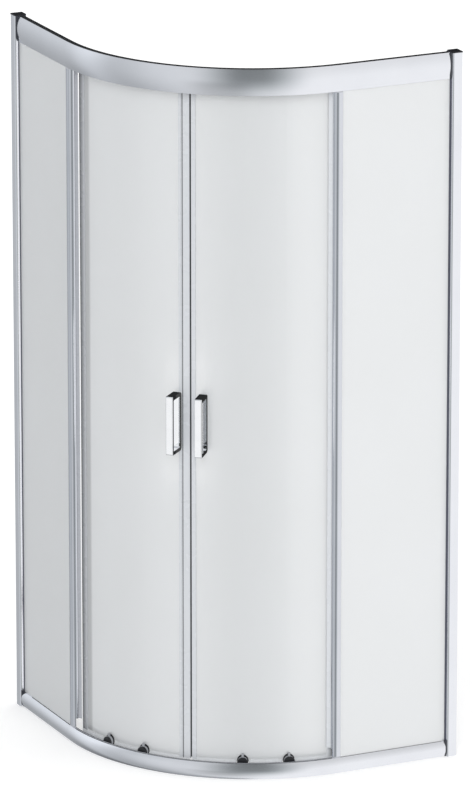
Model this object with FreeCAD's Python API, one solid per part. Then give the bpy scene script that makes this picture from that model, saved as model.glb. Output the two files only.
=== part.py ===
import FreeCAD, Part
import math
import os

# Quadrant shower enclosure for a room corner, millimetres, +Z up.
# The two walls stand at x = +HALF and y = +HALF, and the rounded front faces -x and -y.
# "Depth" is the distance inward from the outer line of the enclosure.
# Right-hand pieces are built along y = -HALF, and the left-hand ones mirror them across x = y.
V = FreeCAD.Vector
UP = V(0, 0, 1)
INWARD = V(0, 1, 0)

# Overall size
SIDE = 900.0
HEIGHT = 1950.0
ARC_RADIUS = 550.0
HALF = SIDE / 2
ARC_CENTRE = ARC_RADIUS - HALF
QUARTER = 90.0
MEETING = 45.0

# Wall profiles: a channel screwed to the wall and a jamb that slides over it
WALL_T = 1.8
JAMB_START = 3.0
JAMB_WIDTH = 29.0
JAMB_DEPTH = 33.8
JAMB_ROUND = 5.0
CHANNEL_LEG = 22.0
CHANNEL_T = 1.6
PROFILE_FIT = 0.2
PROFILE_TOP = 1947.0
POCKET_START = 12.0
POCKET_OUT = 9.7
POCKET_IN = 18.5
WALL_HOLE_R = 2.75
WALL_HOLE_DEPTH = 25.5
WALL_HOLE_HEIGHTS = (150.0, 700.0, 1250.0, 1800.0)
LOCK_SCREW_R = 2.0
LOCK_SCREW_HEIGHTS = (300.0, 975.0, 1650.0)
LOCK_SCREW_REACH = 12.0
LOCK_SCREW_LENGTH = 7.0
LOCK_HEAD_R = 4.0
LOCK_HEAD_T = 2.4
SCREW_FIT = 0.1
GASKET_ROOT = 18.0
GASKET_LIP = 3.6
GASKET_RISE = 0.2

# Fixed panes
PANE_T = 5.0
PANE_OUT = 11.5
PANE_IN = PANE_OUT + PANE_T
PANE_BOTTOM = 14.0
PANE_TOP = 1893.0
PANE_FIT = 0.1

# Top rail: a bowed fascia with a ledge that the upper wheels run on
RAIL_TOP = 1948.0
FASCIA_LOW = 1877.0
FASCIA_EDGE = 9.6
FASCIA_BULGE = 4.0
RAIL_T = 1.6
LEDGE_TOP = 1897.0
LEDGE_T = 2.0
RAIL_INNER = 31.5
RAIL_SHOULDER = 6.0
LEDGE_APRON = 8.0

# Bottom rail: a half-round nose, a groove for the panes and a hooked guide for the lower wheels
SILL_TOP = 43.0
SILL_EDGE = 8.5
SILL_BULGE = 0.3
SILL_T = 1.8
SILL_FLOOR = 2.0
SILL_INNER = 40.0
GUIDE_TOP = 30.0
GUIDE_LOW = 28.0
HOOK_TIP = 23.2
HOOK_OUT = 31.8
HOOK_IN = 33.3
GROOVE_WALL = 1.4
GROOVE_SKIN = 1.5
KERB_T = 1.5
KERB_TOP = 5.0

# End connectors between the rails and the jambs
CONNECTOR_T = 4.0
RAIL_END = HALF - JAMB_WIDTH - CONNECTOR_T
CONNECTOR_TOP = 46.0
CONNECTOR_EDGE = 1.5
HEAD_EDGE = 2.5
PLUG_LENGTH = 12.0
SILL_PLUG = (3.2, 9.6, 14.0, 29.0)
HEAD_PLUG = (14.0, 29.0, LEDGE_TOP, RAIL_TOP - 7.5)
SILL_SCREW_R = 1.5
SILL_SCREW_DEPTH = 5.4
HEAD_SCREW_R = 2.0
HEAD_SCREW_DEPTH = 24.0
CONNECTOR_SCREW_LENGTH = 18.0
SCREW_HEAD_WIDTH = 1.5
SCREW_HEAD_LENGTH = 1.4

# Posts at the free edges of the fixed panes
POST_OPENING = 84.0
POST_PANE = 106.0
POST_OUT = 9.0
POST_IN = 23.0
POST_ROUND = 14.0
POST_GROOVE = 92.0
POST_CHAMBER = (88.5, 91.0)
CHAMBER_OUT = 15.0
CHAMBER_IN = 19.0
FIN_GROOVE = (86.8, 89.2)
FIN_GROOVE_T = 2.5
FIN_FLANGE = 1.6
FIN_FLANGE_T = 1.0
FIN_T = 1.5
FIN_TIP_T = 1.2
FIN_SWEEP = 11.0
FIN_DEPTH = 30.5
POST_BOTTOM = 46.0
POST_TOP = 1874.0
NOTCH_DEPTH = 17.5
NOTCH_TOP = 67.0

# Rubber stops on the ledge of the top rail
STOP_START = 201.0
STOP_LENGTH = 14.0
STOP_HEIGHT = 8.0
STOP_ROUND = 3.0
STOP_DEPTH = 21.0
STOP_WIDTH = 9.5

# Curved sliding doors, which stand closed as a pair a little to the right of the diagonal
DOOR_SHIFT = 1.4
DOOR_OUT = 36.0
DOOR_T = 5.0
DOOR_IN = DOOR_OUT + DOOR_T
DOOR_BOTTOM = 41.0
DOOR_TOP = 1926.0
DOOR_RADIUS = ARC_RADIUS - DOOR_OUT - DOOR_T / 2
SEAL_T = 1.5
SEAL_TOP = 1924.0
EDGE_START = 8.0
EDGE_WIDTH = 27.0
MEETING_GAP = 0.4
MEETING_LIP = 2.4
MEETING_HEAD = 9.5
MEETING_WIDTH = {"right": 14.0, "left": 33.0}
SEAL_GROOVE = (22.5, 26.5)
SEAL_GROOVE_T = 1.0
MAGNET_WIDTH = 6.6
MAGNET_FIT = 0.2
MAGNET_INSET = 4.0
WIPER_LOW = 37.0
WIPER_TOP = 46.0
WIPER_CLEAR = 2.0
LIP_START = 38.2
LIP_T = 2.0
LIP_TIP_T = 1.2
LIP_SWEEP = 2.4
LIP_DROP = 4.6
CAP_GAP = 0.2
CAP_T = 5.0

# Rollers: two upper and two lower wheels on each door, at angles from the tangent point
ROLLERS = {"lead": 15.7, "trail": 29.4}
WHEEL_DEPTH = 27.0
TOP_WHEEL_R = 10.7
TOP_WHEEL_Z = 1908.0
TOP_WHEEL_W = 5.0
TOP_AXLE_R = 3.0
TOP_HOLE_R = 8.0
TOP_CAP_R = 13.0
TOP_HEAD_RIM = 1.5
TOP_HEAD_T = 1.0
LOW_WHEEL_R = 8.0
LOW_WHEEL_Z = 19.5
LOW_WHEEL_W = 3.6
LOW_WHEEL_DEPTH = 26.5
LOW_AXLE_R = 2.0
LOW_HEAD_RIM = 1.0
LOW_HEAD_T = 0.7
LOW_HOLE_R = 5.5
LOW_HOLE_Z = 53.0
LOW_CAP_R = 10.5
RUNNING_FIT = 0.05
WHEEL_GAP = 0.1

# Lower roller: a two-plate housing and the release slider that runs between its plates
HOUSING_W = 30.0
HOUSING_LOW = 32.0
HOUSING_TOP = 60.0
HOUSING_OUT = 20.8
HOUSING_BEVEL = 1.8
FRONT_TOP = 55.0
PLATE_OUT = 26.5
PLATE_IN = 33.0
SLIDER_FIT = 0.2
SLIDER_LOW = 36.0
SLIDER_W = 27.0
SLIDER_TOP = 56.0
TAB_TOP = 64.5
TAB_W = 6.0
TAB_ROOT = 2.0
TAB_INSET = 0.5
RELEASE_TRAVEL = 5.2
GUIDE_PIN_R = 2.2
GUIDE_PIN_X = 7.5
GUIDE_PIN_Z = 41.5
LEG_OUT = 36.4
LEG_IN = 39.0
LEG_W = 10.0
LEG_TOP = 40.3
LEG_GAP_W = 13.0
LEG_GAP_TOP = 42.0

# Release spring
SPRING_R = 1.6
SPRING_WIRE_R = 0.3
SPRING_TURNS = 3
SPRING_SIDES = 6
SPRING_LOW = 44.8
SPRING_TOP = 52.6
SPRING_REST = (42.4, 44.4)
SPRING_REST_W = 4.4
SPRING_WINDOW = (42.0, 53.0)
SPRING_WINDOW_W = 5.2

# Handles
HANDLE_ANGLE = 41.0
HANDLE_W = 20.0
HANDLE_ROUND = 2.0
HANDLE_FRONT = -25.0
HANDLE_LOW = 900.0
HANDLE_TOP = 1060.0
HANDLE_ARM = 10.0
HANDLE_BAR = 8.0
HANDLE_BACK = 12.0
HANDLE_CORNERS = (3.0, 9.0)
WINDOW_CORNERS = (2.0, 4.0)
HANDLE_BORE = 8.0
HANDLE_CAP_R = 9.0
HANDLE_BOLT_INSET = 20.0
HANDLE_BOLT_R = 3.0
HANDLE_HOLE_R = 5.0
HANDLE_CLEAR = 1.0


def at_tangent(depth, z):
    """Point of a radial section in the plane where the straight side meets the arc."""
    return V(ARC_CENTRE, depth - HALF, z)


def in_plan(x, depth):
    """Point of a horizontal section of the right-hand side."""
    return V(x, depth - HALF, 0)


def from_wall(reach, depth):
    """Point of a horizontal section, measured out from the right-hand wall."""
    return V(HALF - reach, depth - HALF, 0)


def outline(steps, place):
    """Closed wire: a pair ends a straight line, and a pair of pairs is an arc's middle and end."""
    edges = []
    here = steps[0]
    for step in steps[1:] + [steps[0]]:
        if isinstance(step[0], tuple):
            middle, end = step
            edges.append(Part.Arc(place(*here), place(*middle), place(*end)).toShape())
        else:
            end = step
            if end != here:
                edges.append(Part.LineSegment(place(*here), place(*end)).toShape())
        here = end
    return Part.Wire(edges)


def face(steps, place):
    return Part.Face(outline(steps, place))


def hollow(steps, chamber, place):
    """Flat section with a closed chamber inside it."""
    return face(steps, place).cut(face(chamber, place)).Faces[0]


def upright(steps, place, low, high):
    """Prism of a horizontal section between two heights."""
    prism = face(steps, place).extrude(UP * (high - low))
    prism.translate(UP * low)
    return prism


def rectangle(a0, a1, b0, b1):
    return [(a0, b0), (a1, b0), (a1, b1), (a0, b1)]


def block(x0, x1, depth0, depth1, z0, z1):
    return upright(rectangle(x0, x1, depth0, depth1), in_plan, z0, z1)


def rod(radius, x, depth0, depth1, z):
    """Cylinder that runs inward, square to the right-hand side."""
    return Part.makeCylinder(radius, depth1 - depth0, V(x, depth0 - HALF, z), INWARD)


def swing(shape, angle):
    """Turn a piece built at the tangent point round the front, towards the meeting line."""
    turned = shape.copy()
    turned.rotate(V(ARC_CENTRE, ARC_CENTRE, 0), UP, -angle)
    return turned


def curved(section, start, end):
    """Solid of a radial section carried round the front from one angle to another."""
    return swing(section, start).revolve(V(ARC_CENTRE, ARC_CENTRE, 0), UP, start - end)


def mirrored(shape):
    return shape.mirror(V(0, 0, 0), V(1, -1, 0))


def both(shape):
    """A right-hand piece and its left-hand twin as one group."""
    return Part.makeCompound([shape, mirrored(shape)])


def door_angle(arc_length):
    """Angle that an arc length along the middle of the door glass covers."""
    return math.degrees(arc_length / DOOR_RADIUS)


def bow_depth(z, low, high, edge, bulge, inset):
    """Depth of a bowed face at a height, for the face itself or a wall set in from it."""
    half_chord = (high - low) / 2
    rise = edge - bulge
    radius = (half_chord ** 2 + rise ** 2) / (2 * rise)
    height = z - (low + high) / 2
    return bulge + radius - math.sqrt((radius - inset) ** 2 - height ** 2)


def fascia_depth(z):
    return bow_depth(z, FASCIA_LOW, RAIL_TOP, FASCIA_EDGE, FASCIA_BULGE, RAIL_T)


def nose_depth(z):
    return bow_depth(z, 0, SILL_TOP, SILL_EDGE, SILL_BULGE, SILL_T)


def whole_front(section):
    """A rail section along one straight side, round the quarter circle and along the other."""
    straight = section.extrude(V(RAIL_END - ARC_CENTRE, 0, 0))
    return straight.multiFuse([curved(section, 0, QUARTER), mirrored(straight)]).removeSplitter()


def wall_channel():
    inner = JAMB_DEPTH - WALL_T - PROFILE_FIT
    outer = WALL_T + PROFILE_FIT
    section = [
        (0, outer), (CHANNEL_LEG, outer), (CHANNEL_LEG, outer + CHANNEL_T),
        (WALL_T, outer + CHANNEL_T), (WALL_T, inner - CHANNEL_T),
        (CHANNEL_LEG, inner - CHANNEL_T), (CHANNEL_LEG, inner), (0, inner),
    ]
    channel = upright(section, from_wall, 0, PROFILE_TOP)
    holes = []
    for height in WALL_HOLE_HEIGHTS:
        start = V(HALF - 2 * WALL_T, WALL_HOLE_DEPTH - HALF, height)
        holes.append(Part.makeCylinder(WALL_HOLE_R, 3 * WALL_T, start, V(1, 0, 0)))
    for height in LOCK_SCREW_HEIGHTS:
        holes.append(lock_screw_hole(height))
    return channel.cut(holes)


def lock_screw_hole(height):
    x = HALF - LOCK_SCREW_REACH
    return rod(LOCK_SCREW_R + SCREW_FIT, x, POCKET_IN + 2 * WALL_T, JAMB_DEPTH + 1, height)


def wall_jamb():
    front = JAMB_WIDTH - WALL_T
    bend = JAMB_WIDTH - JAMB_ROUND
    corner = JAMB_ROUND * (1 - math.sqrt(0.5))
    inner_corner = (JAMB_ROUND - WALL_T) * (1 - math.sqrt(0.5))
    section = [
        (JAMB_START, 0), (bend, 0), ((JAMB_WIDTH - corner, corner), (JAMB_WIDTH, JAMB_ROUND)),
        (JAMB_WIDTH, POCKET_OUT), (POCKET_START + WALL_T, POCKET_OUT),
        (POCKET_START + WALL_T, POCKET_IN), (JAMB_WIDTH, POCKET_IN),
        (JAMB_WIDTH, JAMB_DEPTH), (JAMB_START, JAMB_DEPTH),
        (JAMB_START, JAMB_DEPTH - WALL_T), (front, JAMB_DEPTH - WALL_T),
        (front, POCKET_IN + WALL_T), (POCKET_START, POCKET_IN + WALL_T),
        (POCKET_START, POCKET_OUT - WALL_T), (front, POCKET_OUT - WALL_T), (front, JAMB_ROUND),
        ((front - inner_corner, WALL_T + inner_corner), (bend, WALL_T)), (JAMB_START, WALL_T),
    ]
    jamb = upright(section, from_wall, 0, PROFILE_TOP)
    holes = [lock_screw_hole(height) for height in LOCK_SCREW_HEIGHTS]
    return jamb.cut(holes + [sill_screw(SCREW_FIT), head_screw(SCREW_FIT)])


def jamb_gasket():
    """Black glazing strips: an outer lip on the glass and an inner wedge behind it."""
    outer_lip = [
        (GASKET_ROOT, POCKET_OUT), (JAMB_WIDTH, POCKET_OUT),
        (JAMB_WIDTH + GASKET_LIP / 4, POCKET_OUT + GASKET_RISE),
        ((JAMB_WIDTH + GASKET_LIP * 3 / 4, POCKET_OUT + GASKET_RISE * 4),
         (JAMB_WIDTH + GASKET_LIP, PANE_OUT)), (GASKET_ROOT, PANE_OUT),
    ]
    inner_lip = [
        (GASKET_ROOT, PANE_IN), (JAMB_WIDTH + GASKET_LIP / 2, PANE_IN), (JAMB_WIDTH, POCKET_IN),
        (GASKET_ROOT, POCKET_IN),
    ]
    strips = [upright(lip, from_wall, CONNECTOR_TOP, FASCIA_LOW) for lip in (outer_lip, inner_lip)]
    return Part.makeCompound(strips)


def wall_cap():
    """Black plastic cap on the top of a wall profile, with a plug that holds it."""
    plug_length = 10.0
    plug_start = 4.0
    plug_end = JAMB_WIDTH - WALL_T - 5 * PROFILE_FIT
    corner = JAMB_ROUND * (1 - math.sqrt(0.5))
    plate = upright([
        (0, 0), (JAMB_WIDTH - JAMB_ROUND, 0), ((JAMB_WIDTH - corner, corner), (JAMB_WIDTH, JAMB_ROUND)),
        (JAMB_WIDTH, JAMB_DEPTH), (0, JAMB_DEPTH),
    ], from_wall, PROFILE_TOP, HEIGHT)
    plug_low = POCKET_IN + WALL_T + 2 * PROFILE_FIT
    plug_high = JAMB_DEPTH - WALL_T - CHANNEL_T - 3 * PROFILE_FIT
    plug_section = rectangle(plug_start, plug_end, plug_low, plug_high)
    plug = upright(plug_section, from_wall, PROFILE_TOP - plug_length, PROFILE_TOP)
    return plate.fuse(plug).removeSplitter()


def top_rail():
    web = RAIL_TOP - RAIL_T
    slope = RAIL_TOP - RAIL_SHOULDER
    turn = RAIL_TOP - 2 * RAIL_SHOULDER
    lip = RAIL_INNER - RAIL_T
    rib = PANE_IN + PANE_FIT
    rib_low = FASCIA_LOW + LEDGE_T
    ledge_low = LEDGE_TOP - LEDGE_T
    apron_low = LEDGE_TOP - LEDGE_APRON
    middle = (FASCIA_LOW + RAIL_TOP) / 2
    upper = (LEDGE_TOP + web) / 2
    lower = (FASCIA_LOW + ledge_low) / 2
    section = [
        (FASCIA_EDGE, FASCIA_LOW), ((FASCIA_BULGE, middle), (FASCIA_EDGE, RAIL_TOP)),
        (RAIL_INNER - RAIL_SHOULDER, RAIL_TOP), (RAIL_INNER, slope), (RAIL_INNER, turn), (lip, turn),
        (lip, slope - RAIL_T / 2), (RAIL_INNER - RAIL_SHOULDER - RAIL_T / 2, web),
        (fascia_depth(web), web), ((fascia_depth(upper), upper), (fascia_depth(LEDGE_TOP), LEDGE_TOP)),
        (RAIL_INNER, LEDGE_TOP), (RAIL_INNER, apron_low), (lip, apron_low), (lip, ledge_low),
        (rib + WALL_T, ledge_low), (rib + WALL_T, rib_low), (rib, rib_low), (rib, ledge_low),
        (fascia_depth(ledge_low), ledge_low),
        ((fascia_depth(lower), lower), (fascia_depth(FASCIA_LOW), FASCIA_LOW)),
    ]
    return whole_front(face(section, at_tangent))


def bottom_rail():
    groove_out = PANE_OUT - PANE_FIT
    groove_in = PANE_IN + PANE_FIT
    wall = groove_in + GROOVE_WALL
    skin = groove_out - GROOVE_SKIN
    kerb = SILL_INNER - KERB_T
    middle = SILL_TOP / 2
    section = [
        (SILL_EDGE, 0), ((SILL_BULGE, middle), (SILL_EDGE, SILL_TOP)),
        (groove_out, SILL_TOP), (groove_out, PANE_BOTTOM), (groove_in, PANE_BOTTOM), (groove_in, SILL_TOP),
        (wall, SILL_TOP), (wall, GUIDE_TOP), (HOOK_IN, GUIDE_TOP), (HOOK_IN, HOOK_TIP),
        (HOOK_OUT, HOOK_TIP), (HOOK_OUT, GUIDE_LOW), (wall, GUIDE_LOW), (wall, SILL_FLOOR),
        (kerb, SILL_FLOOR), (kerb, KERB_TOP), (SILL_INNER, KERB_TOP), (SILL_INNER, 0),
    ]
    chamber_top = SILL_TOP - SILL_FLOOR
    step = PANE_BOTTOM - SILL_FLOOR
    chamber = [
        (nose_depth(SILL_FLOOR), SILL_FLOOR),
        ((nose_depth(middle), middle), (nose_depth(chamber_top), chamber_top)),
        (skin, chamber_top), (skin, step), (groove_in, step), (groove_in, SILL_FLOOR),
    ]
    return whole_front(hollow(section, chamber, at_tangent))


def pane_slot(low, high):
    """Room for a fixed pane, cut through the pieces that it passes."""
    return block(POST_GROOVE, HALF, PANE_OUT - PANE_FIT, PANE_IN + PANE_FIT, low, high)


def connector_screw(radius, depth, height, fit):
    """Screw from inside the jamb into the plug of an end connector."""
    start = V(HALF - JAMB_WIDTH + WALL_T, depth - HALF, height)
    shank = Part.makeCylinder(radius + fit, CONNECTOR_SCREW_LENGTH, start, V(-1, 0, 0))
    head = Part.makeCylinder(radius * SCREW_HEAD_WIDTH + fit, radius * SCREW_HEAD_LENGTH, start, V(1, 0, 0))
    return shank.fuse(head)


def sill_screw(fit=0.0):
    return connector_screw(SILL_SCREW_R, SILL_SCREW_DEPTH, SILL_TOP / 2, fit)


def head_screw(fit=0.0):
    return connector_screw(HEAD_SCREW_R, HEAD_SCREW_DEPTH, (LEDGE_TOP + RAIL_TOP) / 2, fit)


def connector(section, plug_sizes):
    """End plate in the section of a rail, with a plug that sits in the rail's chamber."""
    plate = face(section, at_tangent).extrude(V(CONNECTOR_T, 0, 0))
    plate.translate(V(RAIL_END - ARC_CENTRE, 0, 0))
    plug = block(RAIL_END - PLUG_LENGTH, RAIL_END, *plug_sizes)
    return plate.fuse(plug).removeSplitter()


def bottom_connector():
    belly = 15.0
    toe = (3.2, 6.0)
    heel = 8.0
    back = 20.0
    shoulder = GUIDE_TOP + 1
    section = [
        (CONNECTOR_EDGE, CONNECTOR_TOP), (CONNECTOR_EDGE, belly), (toe, (SILL_EDGE, 0)),
        (SILL_INNER, 0), (SILL_INNER, heel), (HOOK_IN, shoulder), (back, shoulder), (back, CONNECTOR_TOP),
    ]
    return connector(section, SILL_PLUG).cut([pane_slot(PANE_BOTTOM, HEIGHT), sill_screw()])


def top_connector():
    belly = FASCIA_LOW + 16
    toe = (4.5, FASCIA_LOW + 7)
    section = [
        (HEAD_EDGE, RAIL_TOP), (HEAD_EDGE, belly), (toe, (FASCIA_EDGE, FASCIA_LOW)),
        (RAIL_INNER, FASCIA_LOW), (RAIL_INNER, RAIL_TOP),
    ]
    return connector(section, HEAD_PLUG).cut([pane_slot(0, PANE_TOP), head_screw()])


def fixed_glass():
    return block(POST_GROOVE, HALF - POCKET_START - WALL_T, PANE_OUT, PANE_IN, PANE_BOTTOM, PANE_TOP)


def post_section():
    """Outline of a post with a large rounded edge towards the opening."""
    edge = POST_ROUND * (1 - math.sqrt(0.5))
    return [
        (POST_PANE, POST_OUT), (POST_OPENING + POST_ROUND, POST_OUT),
        ((POST_OPENING + edge, POST_OUT + edge), (POST_OPENING, POST_OUT + POST_ROUND)),
        (POST_OPENING, POST_IN), (POST_PANE, POST_IN),
    ]


def post_notch(top):
    """Room behind the foot of a post for the rollers that pass it."""
    return block(POST_OPENING - 1, POST_PANE + 1, NOTCH_DEPTH, POST_IN + 1, 0, top)


def post():
    solid = upright(post_section(), in_plan, POST_BOTTOM, POST_TOP)
    pane_groove = block(POST_GROOVE, POST_PANE + 1, PANE_OUT, PANE_IN, 0, HEIGHT)
    fin_groove = block(*FIN_GROOVE, POST_IN - FIN_GROOVE_T, POST_IN + 1, 0, HEIGHT)
    chamber = block(*POST_CHAMBER, CHAMBER_OUT, CHAMBER_IN, 0, HEIGHT)
    return solid.cut([pane_groove, fin_groove, chamber, post_notch(NOTCH_TOP)])


def post_seal():
    """Soft fin in the post's groove that closes the gap to the door."""
    left, right = FIN_GROOVE
    root = POST_IN - FIN_GROOVE_T
    back = POST_IN + FIN_FLANGE_T
    base = left - FIN_FLANGE / 4
    tip = base - FIN_SWEEP
    section = [
        (left, root), (right, root), (right, POST_IN), (right + FIN_FLANGE, POST_IN),
        (right + FIN_FLANGE, back), (base + FIN_T, back), (tip + FIN_TIP_T, FIN_DEPTH), (tip, FIN_DEPTH),
        (base, back), (left - FIN_FLANGE, back), (left - FIN_FLANGE, POST_IN), (left, POST_IN),
    ]
    return upright(section, in_plan, NOTCH_TOP + 1, POST_TOP - 2)


def post_peg(low, high):
    """Peg of a plug in the chamber of a post."""
    left, right = POST_CHAMBER
    return block(left + PANE_FIT, right - PANE_FIT, CHAMBER_OUT + PANE_FIT, NOTCH_DEPTH - PANE_FIT, low, high)


def post_plugs():
    """Black plugs that seat a post on the bottom rail and under the fascia."""
    peg = 12.0
    foot = upright(post_section(), in_plan, SILL_TOP, POST_BOTTOM).cut(post_notch(NOTCH_TOP))
    foot = foot.fuse(post_peg(POST_BOTTOM, POST_BOTTOM + peg)).removeSplitter()
    head = upright(post_section(), in_plan, POST_TOP, FASCIA_LOW)
    head = head.fuse(post_peg(POST_TOP - peg, POST_TOP)).removeSplitter()
    slot = pane_slot(0, HEIGHT)
    return Part.makeCompound([foot.cut(slot), head.cut(slot)])


def door_stop():
    """Rubber block on the ledge that ends the door's travel."""
    top = LEDGE_TOP + STOP_HEIGHT
    far = STOP_START + STOP_LENGTH
    edge = STOP_ROUND * (1 - math.sqrt(0.5))
    section = [
        (STOP_START, LEDGE_TOP), (far, LEDGE_TOP), (far, top - STOP_ROUND),
        ((far - edge, top - edge), (far - STOP_ROUND, top)), (STOP_START, top),
    ]
    profile = face(section, lambda x, z: V(x, STOP_DEPTH - HALF, z))
    return profile.extrude(INWARD * STOP_WIDTH)


def button(radius, thickness, x, depth, height):
    """Low round head with a sloping edge, which faces into the enclosure."""
    shoulder = depth + thickness / 2
    crown = depth + thickness
    crown_r = radius * 0.7
    profile = face([
        (depth, 0), (depth, radius), (shoulder, radius), (crown, crown_r), (crown, 0),
    ], lambda across, r: V(x, across - HALF, height + r))
    return profile.revolve(V(x, 0, height), INWARD, 360)


def lock_screws():
    """Pan-head screws that lock the jamb to the wall channel from inside the enclosure."""
    x = HALF - LOCK_SCREW_REACH
    screws = []
    for height in LOCK_SCREW_HEIGHTS:
        head = button(LOCK_HEAD_R, LOCK_HEAD_T, x, JAMB_DEPTH, height)
        shank = rod(LOCK_SCREW_R, x, JAMB_DEPTH - LOCK_SCREW_LENGTH, JAMB_DEPTH, height)
        screws.append(shank.fuse(head))
    return screws


def door_glass():
    start = door_angle(EDGE_START + SEAL_T)
    end = MEETING - door_angle(MEETING_HEAD)
    pane = curved(face(rectangle(DOOR_OUT, DOOR_IN, DOOR_BOTTOM, DOOR_TOP), at_tangent), start, end)
    holes = []
    for angle in ROLLERS.values():
        holes.append(swing(glass_hole(TOP_HOLE_R, TOP_WHEEL_Z), angle))
        holes.append(swing(glass_hole(LOW_HOLE_R, LOW_HOLE_Z), angle))
    for height in handle_bolt_heights():
        holes.append(swing(glass_hole(HANDLE_HOLE_R, height), HANDLE_ANGLE))
    return pane.cut(holes)


def glass_hole(radius, height):
    return rod(radius, ARC_CENTRE, DOOR_OUT - DOOR_T, DOOR_IN + DOOR_T, height)


def seal_block(start, end):
    """Solid of a clip-on seal before the glass is taken out of it."""
    section = face(rectangle(DOOR_OUT - SEAL_T, DOOR_IN + SEAL_T, DOOR_BOTTOM, SEAL_TOP), at_tangent)
    return curved(section, start, end)


def edge_seal(glass):
    return seal_block(door_angle(EDGE_START), door_angle(EDGE_START + EDGE_WIDTH)).cut(glass)


def magnet_strip():
    """Magnet at the meeting edge, which shows as a dark line between the lips of the seals."""
    section = rectangle(DOOR_OUT + MAGNET_FIT, DOOR_IN - MAGNET_FIT,
                        DOOR_BOTTOM + MAGNET_INSET, SEAL_TOP - MAGNET_INSET)
    start = MEETING - door_angle(MEETING_GAP + MAGNET_WIDTH)
    return curved(face(section, at_tangent), start, MEETING - door_angle(MEETING_GAP))


def meeting_seal(glass, magnet, width):
    """Seal at the meeting edge: a wide one has a groove between its head and its flange."""
    start = MEETING - door_angle(width)
    end = MEETING - door_angle(MEETING_LIP)
    front = DOOR_OUT - SEAL_T
    near, far = SEAL_GROOVE
    section = face(rectangle(front, front + SEAL_GROOVE_T, DOOR_BOTTOM, SEAL_TOP), at_tangent)
    groove = curved(section, MEETING - door_angle(far), MEETING - door_angle(near))
    return seal_block(start, end).cut([glass, magnet, groove, handle_room()])


def bottom_wiper(meeting_width):
    """Clip-on strip under the door with a soft lip, in lengths between the rollers."""
    out = DOOR_OUT - SEAL_T
    back = DOOR_IN + SEAL_T
    tip = LIP_START + LIP_SWEEP
    tip_low = WIPER_LOW - LIP_DROP
    section = [
        (out, WIPER_LOW), (LIP_START, WIPER_LOW), (tip, tip_low), (tip + LIP_TIP_T, tip_low),
        (LIP_START + LIP_T, WIPER_LOW), (back, WIPER_LOW), (back, WIPER_TOP), (DOOR_IN, WIPER_TOP),
        (DOOR_IN, DOOR_BOTTOM), (DOOR_OUT, DOOR_BOTTOM), (DOOR_OUT, WIPER_TOP), (out, WIPER_TOP),
    ]
    profile = face(section, at_tangent)
    notch = door_angle(HOUSING_W / 2 + WIPER_CLEAR)
    first = door_angle(EDGE_START + EDGE_WIDTH + MEETING_GAP)
    last = MEETING - door_angle(meeting_width + MEETING_GAP)
    ends = [first]
    for angle in ROLLERS.values():
        ends += [angle - notch, angle + notch]
    ends.append(last)
    lengths = [curved(profile, ends[i], ends[i + 1]) for i in range(0, len(ends), 2)]
    return Part.makeCompound(lengths)


def handle_room():
    """Gap in a wide seal where the handle and its caps stand on the glass."""
    half = HANDLE_W / 2 + HANDLE_CLEAR
    room = block(ARC_CENTRE - half, ARC_CENTRE + half, DOOR_OUT - 2 * SEAL_T, DOOR_IN + 2 * SEAL_T,
                 HANDLE_LOW - HANDLE_CLEAR, HANDLE_TOP + HANDLE_CLEAR)
    return swing(room, HANDLE_ANGLE)


def handle_bolt_heights():
    return (HANDLE_LOW + HANDLE_BOLT_INSET, HANDLE_TOP - HANDLE_BOLT_INSET)


def handle_loop(front, back, low, high, front_r, back_r):
    """Closed loop in the radial plane with small corners in front and large ones at the glass."""
    f = front_r * (1 - math.sqrt(0.5))
    b = back_r * (1 - math.sqrt(0.5))
    return [
        (front, low + front_r), (front, high - front_r),
        ((front + f, high - f), (front + front_r, high)), (back - back_r, high),
        ((back - b, high - b), (back, high - back_r)), (back, low + back_r),
        ((back - b, low + b), (back - back_r, low)), (front + front_r, low),
        ((front + f, low + f), (front, low + front_r)),
    ]


def handle_plan():
    """Block round the handle with rounded front edges, seen from above."""
    half = HANDLE_W / 2
    edge = HANDLE_ROUND * (1 - math.sqrt(0.5))
    shoulder = HANDLE_FRONT + HANDLE_ROUND
    return upright([
        (-half, DOOR_OUT), (-half, shoulder),
        ((edge - half, HANDLE_FRONT + edge), (HANDLE_ROUND - half, HANDLE_FRONT)),
        (half - HANDLE_ROUND, HANDLE_FRONT), ((half - edge, HANDLE_FRONT + edge), (half, shoulder)),
        (half, DOOR_OUT),
    ], lambda x, depth: in_plan(ARC_CENTRE + x, depth), HANDLE_LOW, HANDLE_TOP)


def door_handle():
    outside = handle_loop(HANDLE_FRONT, DOOR_OUT, HANDLE_LOW, HANDLE_TOP, *HANDLE_CORNERS)
    window = handle_loop(HANDLE_FRONT + HANDLE_BAR, DOOR_OUT - HANDLE_BACK,
                         HANDLE_LOW + HANDLE_ARM, HANDLE_TOP - HANDLE_ARM, *WINDOW_CORNERS)
    loop = hollow(outside, window, at_tangent).extrude(V(HANDLE_W, 0, 0))
    loop.translate(V(-HANDLE_W / 2, 0, 0))
    bores = [rod(HANDLE_BOLT_R + SCREW_FIT / 2, ARC_CENTRE, DOOR_OUT - HANDLE_BORE, DOOR_IN, z)
             for z in handle_bolt_heights()]
    return swing(loop.common(handle_plan()).cut(bores), HANDLE_ANGLE)


def handle_bolts():
    """Bolts through the glass into the handle, with round caps on the inside."""
    inside = DOOR_IN + CAP_GAP
    bolts = []
    for height in handle_bolt_heights():
        sleeve = rod(HANDLE_HOLE_R - SCREW_FIT, ARC_CENTRE, DOOR_OUT, inside, height)
        shank = rod(HANDLE_BOLT_R, ARC_CENTRE, DOOR_OUT - HANDLE_BORE + CAP_GAP, DOOR_OUT, height)
        bolt = round_cap(HANDLE_CAP_R, height).fuse([sleeve, shank])
        bolts.append(swing(bolt, HANDLE_ANGLE))
    return Part.makeCompound(bolts)


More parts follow.
